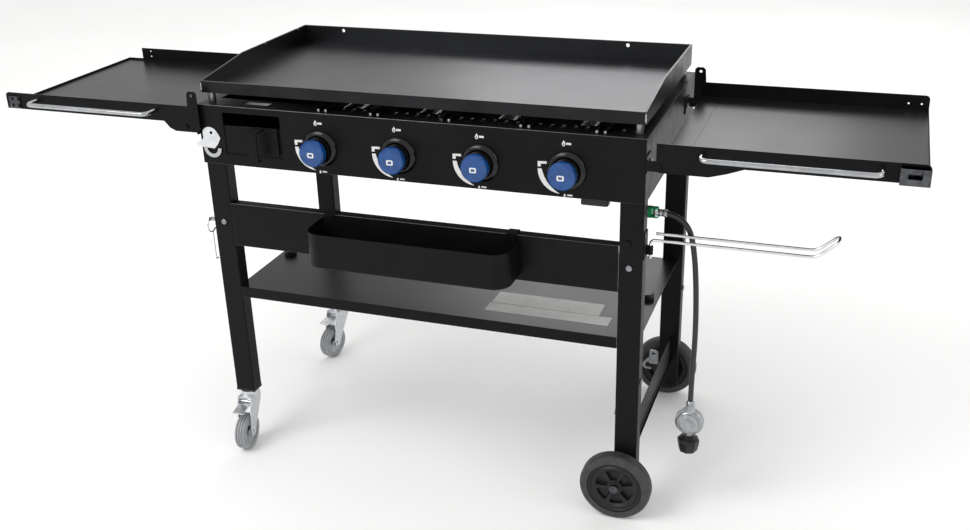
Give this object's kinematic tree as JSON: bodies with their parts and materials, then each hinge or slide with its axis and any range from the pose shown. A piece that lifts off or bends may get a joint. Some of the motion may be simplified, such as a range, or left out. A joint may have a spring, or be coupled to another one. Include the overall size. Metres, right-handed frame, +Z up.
{
  "type": "outdoor_griddle_station",
  "caption": "Outdoor gas griddle station: a walled steel plate over a burner box on a wheeled leg frame, with folding tray shelves, valve knobs, a grease drawer, a bin and a hanging gas hose",
  "frame": {"origin": "the middle of the footprint's box, on the floor", "axes": "+X to the right as seen from the front, +Y to the back, +Z up"},
  "size_m": [1.922, 0.6288, 0.892],
  "materials": {
    "black_powder_coat": "satin powder coat",
    "griddle_steel": "satin, lightly seasoned",
    "zinc_plate": "zinc plated",
    "stainless": "brushed",
    "chrome": "polished",
    "brass": "machined",
    "cast_metal": "die cast",
    "black_gloss": "gloss",
    "blue_knob": "metallic blue face",
    "black_plastic": "moulded",
    "grey_tread": "moulded tread",
    "tyre": "ribbed",
    "hose_rubber": "smooth",
    "grey_plastic": "moulded"
  },
  "bodies": {
    "station": {"firebox_side_left": "black_powder_coat", "firebox_side_right": "black_powder_coat", "firebox_rear_panel": "black_powder_coat", "burner_tray": "black_powder_coat", "control_panel": "black_powder_coat", "vent_rail": "black_powder_coat", "burners": "stainless", "gas_manifold": "zinc_plate", "igniter_box": "black_plastic", "drawer_runners": "zinc_plate", "leg_front_left": "black_powder_coat", "leg_front_right": "black_powder_coat", "leg_rear_left": "black_powder_coat", "leg_rear_right": "black_powder_coat", "front_rail": "black_powder_coat", "wheel_rail": "black_powder_coat", "lower_shelf": "black_powder_coat", "condiment_bin": "black_powder_coat", "shelf_hinge_brackets": "black_powder_coat", "knob_bezels": "black_gloss", "frame_fasteners": "zinc_plate", "bottle_opener": "stainless", "tank_hook": "grey_plastic", "gas_inlet": "brass", "towel_holder_bracket": "black_powder_coat", "wheel_axles": "zinc_plate", "caster_sockets": "black_plastic"},
    "griddle": {"griddle_plate": "griddle_steel", "griddle_feet": "zinc_plate"},
    "left_shelf": {"shelf_left": "black_powder_coat", "towel_bar_left": "chrome", "shelf_clip_left": "chrome"},
    "right_shelf": {"shelf_right": "black_powder_coat", "towel_bar_right": "chrome", "shelf_clip_right": "chrome"},
    "grease_drawer": {"grease_drawer": "black_powder_coat"},
    "front_wheel": {"wheel_hub_front": "black_plastic", "wheel_tyre_front": "tyre"},
    "rear_wheel": {"wheel_hub_rear": "black_plastic", "wheel_tyre_rear": "tyre"},
    "front_caster": {"caster_fork_front": "zinc_plate"},
    "front_caster_wheel": {"caster_wheel_front": "grey_tread"},
    "front_caster_brake": {"caster_brake_front": "zinc_plate"},
    "rear_caster": {"caster_fork_rear": "zinc_plate"},
    "rear_caster_wheel": {"caster_wheel_rear": "grey_tread"},
    "rear_caster_brake": {"caster_brake_rear": "zinc_plate"},
    "towel_holder": {"towel_holder": "black_powder_coat"},
    "match_holder": {"match_holder": "chrome"},
    "gas_line": {"hose_swivel": "zinc_plate", "gas_hose": "hose_rubber", "gas_regulator": "cast_metal"},
    "tank_nut": {"tank_nut": "black_plastic"},
    "valve_stem_1": {"valve_stem_1": "zinc_plate"},
    "knob_1": {"knob_1": "blue_knob"},
    "valve_stem_2": {"valve_stem_2": "zinc_plate"},
    "knob_2": {"knob_2": "blue_knob"},
    "valve_stem_3": {"valve_stem_3": "zinc_plate"},
    "knob_3": {"knob_3": "blue_knob"},
    "valve_stem_4": {"valve_stem_4": "zinc_plate"},
    "knob_4": {"knob_4": "blue_knob"}
  },
  "joints": [
    {"name": "griddle_lift", "type": "slide", "parent": "station", "child": "griddle", "axis": [0, 0, 1], "range_m": [0, 0.06]},
    {"name": "left_shelf_fold", "type": "hinge", "parent": "station", "child": "left_shelf", "pos_m": [-0.501, -0.0166, 0.777], "axis": [0, -1, 0], "range_deg": [0, 90]},
    {"name": "right_shelf_fold", "type": "hinge", "parent": "station", "child": "right_shelf", "pos_m": [0.501, -0.0166, 0.777], "axis": [0, 1, 0], "range_deg": [0, 90]},
    {"name": "grease_drawer_slide", "type": "slide", "parent": "station", "child": "grease_drawer", "axis": [0, -1, 0], "range_m": [0, 0.11]},
    {"name": "knob_1_push", "type": "slide", "parent": "station", "child": "valve_stem_1", "axis": [0, 1, 0], "range_m": [0, 0.003], "stiffness_N_per_m": 1500},
    {"name": "knob_1_turn", "type": "hinge", "parent": "valve_stem_1", "child": "knob_1", "pos_m": [-0.195, -0.2501, 0.751], "axis": [0, -1, 0], "range_deg": [0, 180]},
    {"name": "knob_2_push", "type": "slide", "parent": "station", "child": "valve_stem_2", "axis": [0, 1, 0], "range_m": [0, 0.003], "stiffness_N_per_m": 1500},
    {"name": "knob_2_turn", "type": "hinge", "parent": "valve_stem_2", "child": "knob_2", "pos_m": [-0.022, -0.2501, 0.751], "axis": [0, -1, 0], "range_deg": [0, 180]},
    {"name": "knob_3_push", "type": "slide", "parent": "station", "child": "valve_stem_3", "axis": [0, 1, 0], "range_m": [0, 0.003], "stiffness_N_per_m": 1500},
    {"name": "knob_3_turn", "type": "hinge", "parent": "valve_stem_3", "child": "knob_3", "pos_m": [0.151, -0.2501, 0.751], "axis": [0, -1, 0], "range_deg": [0, 180]},
    {"name": "knob_4_push", "type": "slide", "parent": "station", "child": "valve_stem_4", "axis": [0, 1, 0], "range_m": [0, 0.003], "stiffness_N_per_m": 1500},
    {"name": "knob_4_turn", "type": "hinge", "parent": "valve_stem_4", "child": "knob_4", "pos_m": [0.324, -0.2501, 0.751], "axis": [0, -1, 0], "range_deg": [0, 180]},
    {"name": "front_caster_swivel", "type": "hinge", "parent": "station", "child": "front_caster", "pos_m": [-0.45, -0.2071, 0.14], "axis": [0, 0, 1], "continuous": true},
    {"name": "front_caster_roll", "type": "hinge", "parent": "front_caster", "child": "front_caster_wheel", "pos_m": [-0.44749, -0.24301, 0.042], "axis": [0.9976, 0.0698, 0], "continuous": true},
    {"name": "front_caster_brake_press", "type": "hinge", "parent": "front_caster", "child": "front_caster_brake", "pos_m": [-0.44847, -0.22905, 0.1127], "axis": [0.9976, 0.0698, 0], "range_deg": [0, 12]},
    {"name": "rear_caster_swivel", "type": "hinge", "parent": "station", "child": "rear_caster", "pos_m": [-0.45, 0.2579, 0.14], "axis": [0, 0, 1], "continuous": true},
    {"name": "rear_caster_roll", "type": "hinge", "parent": "rear_caster", "child": "rear_caster_wheel", "pos_m": [-0.45748, 0.22269, 0.042], "axis": [0.9781, -0.2079, 0], "continuous": true},
    {"name": "rear_caster_brake_press", "type": "hinge", "parent": "rear_caster", "child": "rear_caster_brake", "pos_m": [-0.45457, 0.23638, 0.1127], "axis": [0.9781, -0.2079, 0], "range_deg": [0, 12]},
    {"name": "front_wheel_roll", "type": "hinge", "parent": "station", "child": "front_wheel", "pos_m": [0.436, -0.2431, 0.075], "axis": [0, 1, 0], "continuous": true},
    {"name": "rear_wheel_roll", "type": "hinge", "parent": "station", "child": "rear_wheel", "pos_m": [0.436, 0.2939, 0.075], "axis": [0, 1, 0], "continuous": true},
    {"name": "towel_holder_swing", "type": "hinge", "parent": "station", "child": "towel_holder", "pos_m": [0.482, -0.1971, 0.593], "axis": [0, 0, -1], "range_deg": [0, 90]},
    {"name": "gas_line_swing", "type": "hinge", "parent": "station", "child": "gas_line", "pos_m": [0.484, -0.1651, 0.66], "axis": [0, 0, 1], "range_deg": [0, 90]},
    {"name": "tank_nut_turn", "type": "hinge", "parent": "gas_line", "child": "tank_nut", "pos_m": [0.5713, -0.1747, 0.158], "axis": [0, 0, 1], "continuous": true},
    {"name": "match_holder_swing", "type": "hinge", "parent": "station", "child": "match_holder", "pos_m": [-0.4845, -0.2191, 0.562], "axis": [1, 0, 0], "range_deg": [-60, 60]}
  ],
  "couplings": [
    {"joint": "towel_holder_swing", "follows": "right_shelf_fold", "ratio": 1},
    {"joint": "gas_line_swing", "follows": "right_shelf_fold", "ratio": 1}
  ]
}
